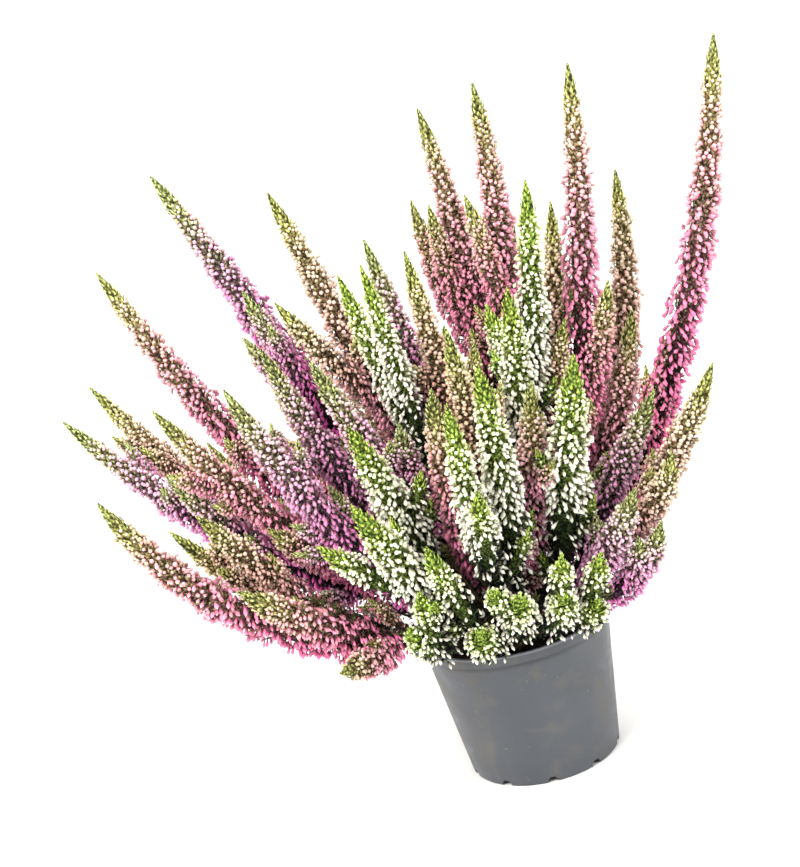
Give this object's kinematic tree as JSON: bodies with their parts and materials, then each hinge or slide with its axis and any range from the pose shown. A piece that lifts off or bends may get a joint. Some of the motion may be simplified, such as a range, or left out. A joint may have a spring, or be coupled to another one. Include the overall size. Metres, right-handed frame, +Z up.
{
  "type": "potted heather",
  "caption": "Bud-flowering heather: upright pink, lilac, dusky and white bud spikes with green tips over dark leafy stems, in a round grey plastic nursery pot.",
  "frame": {"origin": "middle of the pot's flat underside", "axes": "+Z up along the pot's axis; -Y towards the viewer of the plant's front; +X to the viewer's right"},
  "size_m": [0.3863, 0.2885, 0.3756],
  "materials": {
    "pot": "cool grey moulded polypropylene, satin, with faint soil smears",
    "soil": "dark brown peat and bark potting soil, matt and crumbly",
    "leaf": "woody brown stems covered with tiny dark green scale leaves",
    "pink": "rose pink closed buds, fading to dusty pink and an olive green leafy tip",
    "lilac": "lilac purple closed buds, fading to grey green at the leafy tip",
    "dusky": "dusty pink and beige closed buds over olive brown stems, with an olive tip",
    "white": "white closed buds with lime green leaves and a bright green leafy tip"
  },
  "bodies": {
    "root": {"pot": "pot", "soil": "soil", "crown_0": "leaf", "crown_1": "leaf", "crown_2": "leaf", "crown_3": "leaf", "crown_4": "leaf", "crown_5": "leaf", "crown_6": "leaf", "crown_7": "leaf", "spray_left_low": "pink", "spray_left_lilac": "lilac", "spray_left_dusky": "dusky", "spray_left_rose": "pink", "spray_left_tall": "pink", "spray_left_high": "lilac", "spray_left_inner": "dusky", "spray_left_fork": "dusky", "spray_left_mauve": "lilac", "spray_mauve_upper": "lilac", "spray_mauve_inner": "lilac", "spray_green_pair": "white", "spray_centre_lilac": "lilac", "spray_centre_dusky": "dusky", "spray_crest_left": "pink", "spray_crest_right": "pink", "spray_bright_white": "white", "spray_right_olive": "dusky", "spray_right_high": "pink", "spray_right_back": "dusky", "spray_right_tall": "pink", "spray_right_green": "dusky", "spray_right_small": "lilac", "spray_right_mauve": "lilac", "spray_right_deep": "lilac", "spray_right_rose": "pink", "spray_front_upper": "white", "spray_front_slim": "dusky", "spray_front_white": "white", "spray_front_right": "white", "spray_front_green": "white", "spray_front_left": "white", "spray_front_bloom": "white", "spray_front_rose": "pink", "spray_front_flesh": "pink", "spray_low_left": "white", "spray_low_centre": "white", "spray_low_middle": "white", "spray_low_right": "white", "spray_low_side": "white", "spray_back_left": "pink", "spray_back_mauve": "lilac", "spray_back_inner": "dusky", "spray_back_white": "white", "spray_back_tall": "pink", "spray_back_lilac": "lilac", "spray_back_dusky": "dusky", "spray_back_right": "pink", "spray_back_low": "lilac"}
  },
  "joints": []
}
